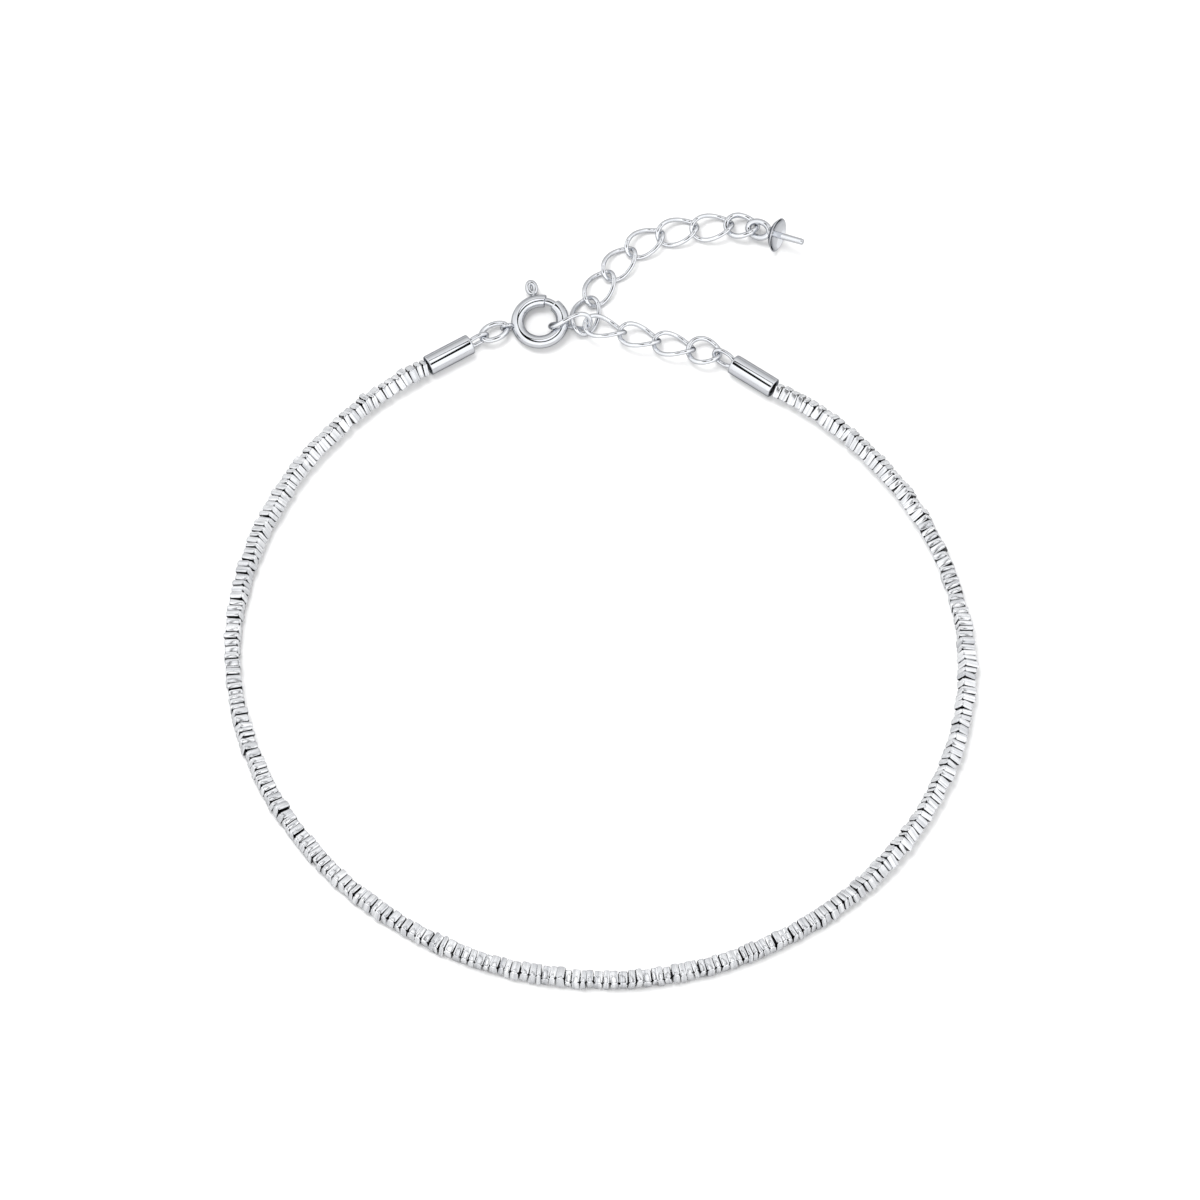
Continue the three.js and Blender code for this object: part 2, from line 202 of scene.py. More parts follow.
TONGUE_RADIUS = 0.32
TONGUE_FROM = 45.5
TONGUE_TO = 120
TONGUE_STEPS = 40
THUMB_LOOP = Wire(length=1.5, width=1.1, wire=0.5, power=2, twist=0)
THUMB_REACH = 3.25
STEM_DEG = 103
STEM_RADIUS = 0.15
STEM_SOFT = 0.02
STEM_SHORT_OF_LOOP = 0.5
STEM_LENGTH = THUMB_REACH - CLASP_RADIUS - STEM_SHORT_OF_LOOP
STEM_SIDES = 20
STEM_PROFILE = [
    Corner(0, 0, 0),
    Corner(STEM_RADIUS, 0, STEM_SOFT),
    Corner(STEM_RADIUS, STEM_LENGTH, STEM_SOFT),
    Corner(0, STEM_LENGTH, 0),
]

# Rings and links of bent wire
RING_POINTS = 72
WIRE_SIDES = 14
LINK = Wire(length=3.86, width=2.6, wire=0.385, power=2.2, twist=-75)
CAP_RING = Wire(length=3.15, width=2.9, wire=0.43, power=2, twist=-40)
CUP_RING = Wire(length=3.15, width=2.5, wire=0.46, power=2, twist=-60)
JUMP_RING = Wire(length=2.9, width=1.95, wire=0.46, power=2, twist=0)
RING_PLACES = [
    Place("jump_ring", JUMP_RING, -9.05, 24.68, 0.75, 32, -7, -10),
    Place("chain_ring_cap", CAP_RING, 8.83, 22.83, 0.84, -17, 1, -12),
    Place("link_01", LINK, 6.25, 23.38, 0.83, -14, 0, -19),
    Place("link_02", LINK, 3.32, 24.19, 0.9, -14, -4, -20),
    Place("link_03", LINK, 0.38, 24.86, 1.18, -12, -5, -26),
    Place("link_04", LINK, -2.57, 25.24, 1.31, 4, 12, 94),
    Place("link_05", LINK, -1.29, 26.28, 0.58, 75, -1, 2),
    Place("link_06", LINK, -0.12, 28.86, 0.58, 60, 0, 0),
    Place("link_07", LINK, 1.58, 31.18, 0.58, 50, 0, 0),
    Place("link_08", LINK, 3.77, 33.14, 0.58, 33, 0, 0),
    Place("link_09", LINK, 6.54, 34.16, 0.58, 18, 0, 1),
    Place("link_10", LINK, 9.5, 34.52, 0.67, 9, 1, -3),
    Place("chain_ring_cup", CUP_RING, 12.05, 34.59, 0.77, -3, 0, -8),
]

# Pearl cup: a thin turned dish with a peg, and an eye on its back
CUP_MIDDLE = Vector((15.07, 33.43, 1.47))
CUP_HEADING = -24
CUP_PITCH = 15
CUP_SIDES = 72
CUP_PROFILE = [
    Corner(0, -0.86, 0),
    Corner(0.3, -0.84, 0.16),
    Corner(0.36, -0.5, 0.16),
    Corner(1.06, -0.36, 0.5),
    Corner(1.5, 0.05, 0.06),
    Corner(1.43, 0.1, 0.05),
    Corner(1.02, -0.22, 0.4),
    Corner(0.27, -0.42, 0.1),
    Corner(0.27, 2.5, 0.16),
    Corner(0, 2.5, 0),
]
CUP_EYE = Wire(length=2.5, width=1.85, wire=0.51, power=2, twist=0)
CUP_EYE_REACH = 1.78
CUP_EYE_ROLL = 30

# Floor: its reach is in metres, and its two sheets lie just under the solids
FLOOR_REACH_M = 3.0
FLOOR_TONE = 0.95
FLOOR_DEPTH = 0.03
# Greyer copy of the floor seen only in reflections: painted shade in the metal's mirrored floor
MIRRORED_SHADE_TONE = 0.6
MIRRORED_DEPTH = 0.025
PAPER_SPREAD = 0.02

# Light: a white sheet from the back horizon over the top to the front one, even at the sides, and a dark hoop
# in it, as slopes from straight up, that is narrower at the back
SHEET = [
    Station(0, 0.3),
    Station(13, 0.4),
    Station(29, 0.53),
    Station(43, 0.62),
    Station(56, 0.75),
    Station(69, 0.92),
    Station(80, 1.0),
    Station(160, 1.0),
    Station(174, 0.65),
]
SHEET_STRENGTH = 1.36
SIDE_FROM = 0.55
SIDE_TO = 0.9
SIDE_LEVEL = 0.8
HOOP_RADIUS = 0.445
HOOP_HALF_WIDTH = 0.2
HOOP_BACK_HALF_WIDTH = 0.06
HOOP_NARROWS_FROM = 0.0
HOOP_NARROWS_TO = 0.4
DARK_EDGE = 0.25
DARK_LEVEL = 0.004
SUN_STRENGTH = 1.6
SUN_ANGLE = 30
SUN_HEADING = Vector((0.25, -0.25, -1.0))

# Colours, most as a darker and a lighter tone
TUBE_TONES = ((0.7, 0.715, 0.75), (0.75, 0.767, 0.8))
# Wire silver: a lighter copy of the tube silver, painting brighter highlights on the thin wires
LIGHTER_WIRE_TONES = ((0.78, 0.797, 0.83), (0.84, 0.857, 0.89))
BEAD_TONES = ((0.57, 0.584, 0.612), (0.97, 0.98, 1.0))
# Near-black painted shade for the bead faces that lie against each other
BEAD_GAP_SHADE_TONE = (0.02, 0.021, 0.024)
# Thread: its own dark colour, made near-black to paint the shade in the gaps between beads
THREAD_AND_GAP_SHADE_TONES = ((0.01, 0.01, 0.012), (0.04, 0.04, 0.045))
EDGE_TINT = (0.08, 0.085, 0.1, 1)

# How finely meshes are shaded, rounded and merged
SMOOTH_ANGLE = 42
FILLET_STEPS = 6
MERGE_DISTANCE = 1e-8


# Meshes


def turned_about(axis, degrees):
    return Matrix.Rotation(math.radians(degrees), 4, axis)


def facing_out(mesh):
    """Same mesh with its closed surface pointing outwards."""
    shape = bmesh.new()
    shape.from_mesh(mesh)
    bmesh.ops.remove_doubles(shape, verts=shape.verts, dist=MERGE_DISTANCE)
    bmesh.ops.recalc_face_normals(shape, faces=shape.faces)
    shape.to_mesh(mesh)
    shape.free()
    return mesh


def smoothed(mesh, degrees):
    """Same mesh shaded smooth, but for edges sharper than the angle."""
    mesh.shade_smooth()
    mesh.set_sharp_from_angle(angle=math.radians(degrees))
    return mesh


def mesh_of(name, points, faces):
    mesh = bpy.data.meshes.new(name)
    mesh.from_pydata(points, [], faces)
    mesh.update()
    return mesh


def joined(name, meshes):
    """One mesh of several."""
    shape = bmesh.new()
    for mesh in meshes:
        shape.from_mesh(mesh)
    result = bpy.data.meshes.new(name)
    shape.to_mesh(result)
    shape.free()
    for mesh in meshes:
        bpy.data.meshes.remove(mesh)
    return result


def ring_faces(ring_count, sides, closed):
    """Quads between rings of points, with the first and last ring filled when the row is open."""
    faces = []
    spans = ring_count if closed else ring_count - 1
    for i in range(spans):
        here = i * sides
        there = ((i + 1) % ring_count) * sides
        for k in range(sides):
            turn = (k + 1) % sides
            faces.append((here + k, here + turn, there + turn, there + k))
    if not closed:
        faces.append(tuple(reversed(range(sides))))
        faces.append(tuple(range((ring_count - 1) * sides, ring_count * sides)))
    return faces


def lofted(name, rings, closed):
    points = [point for ring in rings for point in ring]
    mesh = mesh_of(name, points, ring_faces(len(rings), len(rings[0]), closed))
    return facing_out(mesh)


def softened(profile):
    """Profile with each corner drawn as a short curve."""
    points = []
    for i, corner in enumerate(profile):
        here = Vector((corner.radius, corner.along))
        if corner.soft == 0 or i in (0, len(profile) - 1):
            points.append(here)
            continue
        before = Vector((profile[i - 1].radius, profile[i - 1].along))
        after = Vector((profile[i + 1].radius, profile[i + 1].along))
        start = here + (before - here).normalized() * min(corner.soft, (before - here).length / 2)
        end = here + (after - here).normalized() * min(corner.soft, (after - here).length / 2)
        for step in range(FILLET_STEPS + 1):
            t = step / FILLET_STEPS
            points.append(start * (1 - t) ** 2 + here * 2 * t * (1 - t) + end * t ** 2)
    return points


def turned_mesh(name, profile, sides):
    """Piece turned about the X axis, from a profile that starts and ends on it."""
    shape = bmesh.new()
    rings = []
    for radius, along in softened(profile):
        if radius == 0:
            rings.append([shape.verts.new((along, 0, 0))])
            continue
        ring = []
        for k in range(sides):
            angle = 2 * math.pi * k / sides
            ring.append(shape.verts.new((along, radius * math.cos(angle), radius * math.sin(angle))))
        rings.append(ring)
    for low, high in zip(rings, rings[1:]):
        for k in range(sides):
            turn = (k + 1) % sides
            if len(low) == 1:
                shape.faces.new((low[0], high[k], high[turn]))
            elif len(high) == 1:
                shape.faces.new((low[k], low[turn], high[0]))
            else:
                shape.faces.new((low[k], low[turn], high[turn], high[k]))
    mesh = bpy.data.meshes.new(name)
    shape.to_mesh(mesh)
    shape.free()
    return smoothed(facing_out(mesh), SMOOTH_ANGLE)


def solder_drop(form):
    """Small flattened drop where a wire is soldered on."""
    shape = bmesh.new()
    bmesh.ops.create_icosphere(shape, subdivisions=SOLDER_SUBDIVISIONS, radius=form.radius)
    bmesh.ops.scale(shape, vec=Vector((form.stretch, 1, 1)), verts=shape.verts)
    mesh = bpy.data.meshes.new("solder")
    shape.to_mesh(mesh)
    shape.free()
    mesh.shade_smooth()
    return mesh


def moved(mesh, matrix):
    mesh.transform(matrix)
    return mesh


# Pieces and the trees that make them


def add_piece(mesh, material, body, node):
    """Puts a finished mesh in the scene in place of a solid, riding on its body."""
    mesh.transform(TO_FRAME)
    mesh.materials.clear()
    mesh.materials.append(material)
    piece = bpy.data.objects.new(mesh.name, mesh)
    bpy.context.scene.collection.objects.link(piece)
    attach(piece, body)
    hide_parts(node)


class Tree:
    """Geometry node tree with named inputs."""

    def __init__(self, name, inputs):
        self.group = bpy.data.node_groups.new(name, "GeometryNodeTree")
        for label, kind in inputs.items():
            self.group.interface.new_socket(label, in_out="INPUT", socket_type="NodeSocket" + kind)
        self.group.interface.new_socket("Shape", in_out="OUTPUT", socket_type="NodeSocketGeometry")
        self.inputs = self.group.nodes.new("NodeGroupInput").outputs

    def add(self, kind, settings=None, **values):
        """New node with its settings, and its input sockets linked or set by name."""
        node = self.group.nodes.new(kind)
        for key, value in (settings or {}).items():
            setattr(node, key, value)
        for key, value in values.items():
            self.feed(node.inputs[key.replace("_", " ")], value)
        return node

    def feed(self, socket, value):
        if isinstance(value, bpy.types.NodeSocket):
            self.group.links.new(value, socket)
        else:
            socket.default_value = value

    def calc(self, operation, first, second=None):
        node = self.group.nodes.new("ShaderNodeMath")
        node.operation = operation
        self.feed(node.inputs[0], first)
        if second is not None:
            self.feed(node.inputs[1], second)
        return node.outputs[0]

    def end(self, shape, material):
        """Last nodes: real geometry, smooth shading, material."""
        real = self.add("GeometryNodeRealizeInstances", Geometry=shape)
        smooth = self.add("GeometryNodeSetShadeSmooth", Geometry=real.outputs[0])
        done = self.add("GeometryNodeSetMaterial", Geometry=smooth.outputs[0], Material=material)
        self.group.links.new(done.outputs[0], self.group.nodes.new("NodeGroupOutput").inputs[0])

    def made(self, name, base, **values):
        """Plain mesh that the tree makes from a base mesh and its inputs' values."""
        carrier = bpy.data.objects.new(name, base)
        bpy.context.scene.collection.objects.link(carrier)
        shaper = carrier.modifiers.new("shaper", "NODES")
        shaper.node_group = self.group
        for item in self.group.interface.items_tree:
            key = item.name.replace(" ", "_")
            if item.in_out == "INPUT" and key in values:
                shaper[item.identifier] = values[key]
        graph = bpy.context.evaluated_depsgraph_get()
        mesh = bpy.data.meshes.new_from_object(carrier.evaluated_get(graph), depsgraph=graph)
        bpy.data.objects.remove(carrier)
        mesh.name = name
        return mesh


def bent_wire_tree():
    """Oval of round wire in its own plane, long along X and twisted about X."""
    tree = Tree("bent_wire", {
        "Length": "Float",
        "Width": "Float",
        "Wire": "Float",
        "Fullness": "Float",
        "Twist": "Float",
        "Path Points": "Int",
        "Wire Sides": "Int",
        "Silver": "Material",
    })
    inputs = tree.inputs
    circle = tree.add("GeometryNodeCurvePrimitiveCircle", Resolution=inputs["Path Points"], Radius=1.0)
    position = tree.add("GeometryNodeInputPosition")
    parts = tree.add("ShaderNodeSeparateXYZ", Vector=position.outputs[0])
    span = tree.calc("SUBTRACT", inputs["Length"], inputs["Wire"])
    breadth = tree.calc("SUBTRACT", inputs["Width"], inputs["Wire"])
    exponent = tree.calc("DIVIDE", 2.0, inputs["Fullness"])

    def stretched(value, size):
        full = tree.calc("POWER", tree.calc("ABSOLUTE", value), exponent)
        signed = tree.calc("MULTIPLY", tree.calc("SIGN", value), full)
        return tree.calc("MULTIPLY", signed, tree.calc("MULTIPLY", size, 0.5))

    along = stretched(parts.outputs["X"], span)
    across = stretched(parts.outputs["Y"], breadth)
    angle = tree.calc("MULTIPLY", inputs["Twist"], tree.calc("DIVIDE", along, span))
    flat = tree.calc("MULTIPLY", across, tree.calc("COSINE", angle))
    raised = tree.calc("MULTIPLY", across, tree.calc("SINE", angle))
    place = tree.add("ShaderNodeCombineXYZ", X=along, Y=flat, Z=raised)
    bent = tree.add("GeometryNodeSetPosition", Geometry=circle.outputs[0], Position=place.outputs[0])
    even = tree.add("GeometryNodeResampleCurve", Curve=bent.outputs[0], Count=inputs["Path Points"])
    radius = tree.calc("MULTIPLY", inputs["Wire"], 0.5)
    section = tree.add("GeometryNodeCurvePrimitiveCircle", Resolution=inputs["Wire Sides"], Radius=radius)
    swept = tree.add("GeometryNodeCurveToMesh", Curve=even.outputs[0])
    tree.feed(swept.inputs["Profile Curve"], section.outputs[0])
    tree.end(swept.outputs[0], inputs["Silver"])
    return tree


def thread_tree():
    """Round thread along a row of points."""
    tree = Tree("thread", {"Path": "Geometry", "Wire": "Float", "Wire Sides": "Int", "Fibre": "Material"})
    inputs = tree.inputs
    path = tree.add("GeometryNodeMeshToCurve", Mesh=inputs["Path"])
    radius = tree.calc("MULTIPLY", inputs["Wire"], 0.5)
    section = tree.add("GeometryNodeCurvePrimitiveCircle", Resolution=inputs["Wire Sides"], Radius=radius)
    swept = tree.add("GeometryNodeCurveToMesh", Curve=path.outputs[0])
    tree.feed(swept.inputs["Profile Curve"], section.outputs[0])
    tree.feed(swept.inputs["Fill Caps"], True)
    tree.end(swept.outputs[0], inputs["Fibre"])
    return tree


def bead_tree():
    """Wafers on a row of points that carry their own turn and size."""
    tree = Tree("beads", {
        "Places": "Geometry",
        "Wafer 1": "Object",
        "Wafer 2": "Object",
        "Wafer 3": "Object",
        "Seed": "Int",
        "Silver": "Material",
    })
    inputs = tree.inputs
    wafers = tree.add("GeometryNodeJoinGeometry")
    for label in ("Wafer 1", "Wafer 2", "Wafer 3"):
        wafer = tree.add("GeometryNodeObjectInfo", Object=inputs[label])
        single = tree.add("GeometryNodeGeometryToInstance", Geometry=wafer.outputs["Geometry"])
        tree.group.links.new(single.outputs[0], wafers.inputs[0])
    kind = tree.add("FunctionNodeRandomValue", {"data_type": "INT"})
    drawn = [socket for socket in kind.inputs if socket.enabled]
    tree.feed(drawn[0], 0)
    tree.feed(drawn[1], len(WAFERS) - 1)
    tree.feed(kind.inputs["Seed"], inputs["Seed"])
    picked = [socket for socket in kind.outputs if socket.enabled][0]
    turn = tree.add("GeometryNodeInputNamedAttribute", {"data_type": "FLOAT_VECTOR"}, Name="turn")
    size = tree.add("GeometryNodeInputNamedAttribute", {"data_type": "FLOAT_VECTOR"}, Name="size")
    rotation = tree.add("FunctionNodeEulerToRotation", Euler=turn.outputs[0])
    placed = tree.add(
        "GeometryNodeInstanceOnPoints",
        Points=inputs["Places"],
        Instance=wafers.outputs[0],
        Pick_Instance=True,
        Instance_Index=picked,
        Rotation=rotation.outputs[0],
        Scale=size.outputs[0],
    )
    shade = tree.add("FunctionNodeRandomValue", {"data_type": "FLOAT"})
    tree.feed(shade.inputs["Seed"], inputs["Seed"])
    drawn_shade = [socket for socket in shade.outputs if socket.enabled][0]
    toned = tree.add(
        "GeometryNodeStoreNamedAttribute",
        {"data_type": "FLOAT", "domain": "INSTANCE"},
        Geometry=placed.outputs[0],
        Name="shade",
        Value=drawn_shade,
    )
    tree.end(toned.outputs[0], inputs["Silver"])
    return tree


# Materials


class Finish:
    """Material built from nodes on Object coordinates and the mesh's attributes."""

    def __init__(self, name):
        self.material = bpy.data.materials.new(name)
        self.material.use_nodes = True
        self.nodes = self.material.node_tree.nodes
        self.links = self.material.node_tree.links
        self.shader = self.nodes["Principled BSDF"]
        self.place = self.nodes.new("ShaderNodeTexCoord").outputs["Object"]

    def noise(self, size_mm, detail):
        node = self.nodes.new("ShaderNodeTexNoise")
        node.inputs["Scale"].default_value = 1 / (size_mm * MM)
        node.inputs["Detail"].default_value = detail
        self.links.new(self.place, node.inputs["Vector"])
        return node.outputs["Fac"]

    def ranged(self, value, low, high):
        node = self.nodes.new("ShaderNodeMapRange")
        node.inputs["To Min"].default_value = low
        node.inputs["To Max"].default_value = high
        self.links.new(value, node.inputs["Value"])
        return node.outputs["Result"]

    def blended(self, amount, first, second):
        """Colour between two, each a plain colour or a socket."""
        node = self.nodes.new("ShaderNodeMix")
        node.data_type = "RGBA"
        colours = [socket for socket in node.inputs if socket.type == "RGBA"]
        for socket, colour in zip(colours, (first, second)):
            if isinstance(colour, bpy.types.NodeSocket):
                self.links.new(colour, socket)
            else:
                socket.default_value = (*colour, 1)
        self.links.new(amount, node.inputs[0])
        return [socket for socket in node.outputs if socket.type == "RGBA"][0]

    def attribute(self, name):
        node = self.nodes.new("ShaderNodeAttribute")
        node.attribute_name = name
        return node.outputs["Fac"]

    def streaks(self, across, shade):
        """Bands across each bead, drawn afresh by its own shade number."""
        place = self.nodes.new("ShaderNodeCombineXYZ")
        self.links.new(self.attribute(across), place.inputs["X"])
        self.links.new(self.ranged(self.attribute(shade), 0, SHADE_REACH), place.inputs["Y"])
        node = self.nodes.new("ShaderNodeTexNoise")
        node.inputs["Scale"].default_value = STREAK_SCALE
        node.inputs["Detail"].default_value = STREAK_DETAIL
        self.links.new(place.outputs[0], node.inputs["Vector"])
        return self.ranged(node.outputs["Fac"], STREAK_LOW, STREAK_HIGH)

    def bumped(self, height, depth_mm, strength):
        node = self.nodes.new("ShaderNodeBump")
        node.inputs["Strength"].default_value = strength
        node.inputs["Distance"].default_value = depth_mm * MM
        self.links.new(height, node.inputs["Height"])
        self.links.new(node.outputs["Normal"], self.shader.inputs["Normal"])

    def feed(self, name, value):
        if isinstance(value, bpy.types.NodeSocket):
            self.links.new(value, self.shader.inputs[name])
        else:
            self.shader.inputs[name].default_value = value


def bright_silver(name, tones):
    """Polished tube or wire, with faint polishing waves and dark edges."""
    finish = Finish(name)
    waves = finish.noise(size_mm=0.6, detail=2)
    rubbing = finish.noise(size_mm=0.15, detail=4)
    finish.feed("Metallic", 1.0)
    finish.feed("Base Color", finish.blended(waves, *tones))
    finish.feed("Specular Tint", EDGE_TINT)
    finish.feed("Roughness", finish.ranged(rubbing, low=0.03, high=0.07))
    finish.bumped(waves, depth_mm=0.004, strength=0.3)
    return finish.material


def bead_silver():
    """Hammered and polished wafers that differ in tone, with near-black painted shade on the end faces where
    they lie against each other.
    """
    finish = Finish("bead_silver")
    tone = finish.blended(finish.streaks("streak", "shade"), *BEAD_TONES)
    rubbing = finish.noise(size_mm=0.2, detail=4)
    dents = finish.noise(size_mm=0.45, detail=3)
    finish.feed("Metallic", 0.8)
    # Near-black base colour on the end faces between beads: painted shade
    finish.feed("Base Color", finish.blended(finish.attribute("hidden"), tone, BEAD_GAP_SHADE_TONE))
    finish.feed("Roughness", finish.ranged(rubbing, low=0.14, high=0.28))
    finish.bumped(dents, depth_mm=0.012, strength=0.4)
    return finish.material


def thread_fibre():
    """Dark soft thread between the beads, its own dark colour made near-black to paint the shade in the gaps
    between them.
    """
    finish = Finish("thread_fibre")
    fibre = finish.noise(size_mm=0.08, detail=4)
    finish.feed("Base Color", finish.blended(fibre, *THREAD_AND_GAP_SHADE_TONES))
    finish.feed("Roughness", finish.ranged(fibre, low=0.7, high=0.95))
    finish.bumped(fibre, depth_mm=0.02, strength=0.6)
    return finish.material


def floor_paper(name, tone):
    """Plain pale paper."""
    finish = Finish(name)
    grain = finish.noise(size_mm=0.4, detail=4)
    lighter = tone + PAPER_SPREAD
    finish.feed("Base Color", finish.blended(grain, (tone, tone, tone), (lighter, lighter, lighter)))
    finish.feed("Roughness", 0.9)
    return finish.material


# The string of beads


def draws_from(seed):
    """Even draws from -1 to 1, the same on every run."""
    state = seed
    while True:
        state = state * DRAW_FACTOR % DRAW_RANGE
        yield 2 * state / DRAW_RANGE - 1


def smooth_value(stations, deg):
    """Station table read between its rows along smooth curves."""
    i = 0
    while i < len(stations) - 2 and deg > stations[i + 1].deg:
        i += 1

    def slope(k):
        low = stations[max(k - 1, 0)]
        high = stations[min(k + 1, len(stations) - 1)]
        return (high.value - low.value) / (high.deg - low.deg)

    span = stations[i + 1].deg - stations[i].deg
    t = (deg - stations[i].deg) / span
    rise = t * t * (3 - 2 * t)
    start = t * (1 - t) * (1 - t) * span * slope(i)
    end = t * t * (t - 1) * span * slope(i + 1)
    return stations[i].value * (1 - rise) + stations[i + 1].value * rise + start + end


def thread_path():
    """Points along the thread with their angle and the length of thread up to them."""
    first = LOOP_RADIUS[0].deg
    last = LOOP_RADIUS[-1].deg
    path = []
    for i in range(LOOP_STEPS + 1):
        deg = first + (last - first) * i / LOOP_STEPS
        outward = Vector((math.cos(math.radians(deg)), math.sin(math.radians(deg)), 0))
        spot = LOOP_CENTRE + outward * smooth_value(LOOP_RADIUS, deg)
        length = path[-1].length + (spot - path[-1].spot).length if path else 0
        path.append(PathPoint(deg, spot, length))
    return path


def on_thread(path, length):
    """Angle, place and direction of the thread at a length from its start."""
    i = 1
    while i < len(path) - 1 and path[i].length < length:
        i += 1
    low = path[i - 1]
    high = path[i]
    t = (length - low.length) / (high.length - low.length)
    along = (high.spot - low.spot).normalized()
    return low.deg + (high.deg - low.deg) * t, low.spot.lerp(high.spot, t), along


def laid_beads(path):
    """Beads in order along the thread, each resting on the floor on a side or an edge."""
    even = draws_from(BEAD_SEED)
    lean = draws_from(LEAN_SEED)
    draws = []
    for _ in range(BEAD_COUNT):
        share = 1 + PITCH_SPREAD * next(even)
        side = BEAD_SIDE * (1 + SIDE_SPREAD * next(even))
        roll = ROLL_SPREAD_DEG * next(even)
        yaw = YAW_SPREAD_DEG * next(even)
        draws.append(BeadDraw(share, side, roll, yaw))
    shares = sum(draw.share for draw in draws)
    room = path[-1].length - 2 * CAP_GAP
    used = CAP_GAP
    beads = []
    for i, draw in enumerate(draws):
        pitch = room * draw.share / shares
        deg, spot, along = on_thread(path, used + pitch / 2)
        used += pitch
        mean = smooth_value(BEAD_ROLL, deg)
        angle = 0 if i == REST_BEAD else math.radians(mean + draw.roll)
        height = draw.side / 2 * (abs(math.cos(angle)) + abs(math.sin(angle)))
        heading = math.atan2(along.y, along.x) + math.radians(draw.yaw)
        tip = math.radians(LEAN_SPREAD_DEG * next(lean))
        fill = BEAD_FILL * (1 + FILL_SPREAD * next(lean))
        slip = Vector((along.y, -along.x, 0)) * SLIP_SPREAD * next(lean)
        turn = (
            Matrix.Rotation(heading, 3, "Z")
            @ Matrix.Rotation(-math.pi / 2 - angle, 3, "X")
            @ Matrix.Rotation(tip, 3, "Z")
        )
        middle = Vector((spot.x, spot.y, height)) + slip
        beads.append(Bead(middle, turn.to_euler(), Vector((pitch * fill, draw.side, draw.side))))
    return beads


def wafer_outline(wafer):
    """Rounded square as points with how much of a corner each one is."""
    middle = Vector((0.5 - wafer.corner, 0.5 - wafer.corner))
    arc = []
    for point in WAFER_CORNER:
        angle = math.radians(point.deg)
        outward = Vector((math.cos(angle), math.sin(angle)))
        arc.append((middle + outward * wafer.corner, point.share))
    outline = []
    for quarter in range(4):
        turn = Matrix.Rotation(math.radians(90 * quarter), 2)
        outline += [(turn @ spot, share) for spot, share in arc]
    return outline


def wafer_mesh(name, wafer):
    """Unit wafer across the X axis."""
    outline = wafer_outline(wafer)
    rings = []
    for ring in WAFER_RINGS:
        keep = 1 - ring.inset
        points = []
        for spot, share in outline:
            x = ring.across * (1 - CORNER_THINNING * share)
            y = spot.x * keep * (1 + wafer.taper * spot.y)
            z = spot.y * keep + wafer.skew * spot.x
            points.append(Vector((x, y, z)))
        rings.append(points)
    mesh = smoothed(lofted(name, rings, False), WAFER_SMOOTH_ANGLE)
    # Only the two end faces, which lie against the next beads, have more than four corners; they carry the
    # painted shade between the beads
    hidden = mesh.attributes.new("hidden", "FLOAT", "FACE")
    hidden.data.foreach_set("value", [float(len(face.vertices) > 4) for face in mesh.polygons])
    streak = mesh.attributes.new("streak", "FLOAT", "POINT")
    streak.data.foreach_set("value", [ring.across for ring in WAFER_RINGS for _ in outline])
    return mesh


def bead_row(beads, silver):
    """All beads of the string as one piece."""
    places = mesh_of("bead_places", [bead.middle for bead in beads], [])
    turn = places.attributes.new("turn", "FLOAT_VECTOR", "POINT")
    size = places.attributes.new("size", "FLOAT_VECTOR", "POINT")
    for i, bead in enumerate(beads):
        turn.data[i].vector = bead.turn
        size.data[i].vector = bead.size
    wafers = []
    for wafer in WAFERS:
        sample = bpy.data.objects.new("wafer", wafer_mesh("wafer", wafer))
        bpy.context.scene.collection.objects.link(sample)
        wafers.append(sample)
    mesh = bead_tree().made(
        "square_beads",
        places,
        Wafer_1=wafers[0],
        Wafer_2=wafers[1],
        Wafer_3=wafers[2],
        Seed=BEAD_SEED,
        Silver=silver,
    )
    for sample in wafers:
        bpy.data.objects.remove(sample)
    add_piece(mesh, silver, "bracelet", "bead_string")


def bead_thread(path, beads, fibre):
    """Thread through the middles of the beads and a little way into both caps."""
    _, start, start_along = on_thread(path, 0)
    _, end, end_along = on_thread(path, path[-1].length)
    tails = (start - start_along * THREAD_TAIL, end + end_along * THREAD_TAIL)
    for tail in tails:
        tail.z = CAP_AXIS_HEIGHT
    spots = [tails[0], *[bead.middle for bead in beads], tails[1]]
    line = bpy.data.meshes.new("thread_line")
    line.from_pydata(spots, [(i, i + 1) for i in range(len(spots) - 1)], [])
    thread = thread_tree().made("bead_thread", line, Wire=THREAD_WIRE, Wire_Sides=THREAD_SIDES, Fibre=fibre)
    add_piece(facing_out(thread), fibre, "bracelet", "bead_string")


# Wire, caps, clasp and cup


def bent_wire(tree, form, silver, matrix):
    mesh = tree.made(
        "wire",
        bpy.data.meshes.new("wire_base"),
        Length=form.length,
        Width=form.width,
        Wire=form.wire,
        Fullness=float(form.power),
        Twist=math.radians(form.twist),
        Path_Points=RING_POINTS,
        Wire_Sides=WIRE_SIDES,
        Silver=silver,
    )
    return moved(facing_out(mesh), matrix)


def chain(tree, silver):
    for place in RING_PLACES:
        matrix = (
            Matrix.Translation((place.x, place.y, place.z))
            @ turned_about("Z", place.heading)
            @ turned_about("Y", -place.pitch)
            @ turned_about("X", place.roll)
        )
        mesh = bent_wire(tree, place.form, silver, matrix)
        mesh.name = place.name + "_wire"
        add_piece(mesh, silver, "bracelet", place.name)


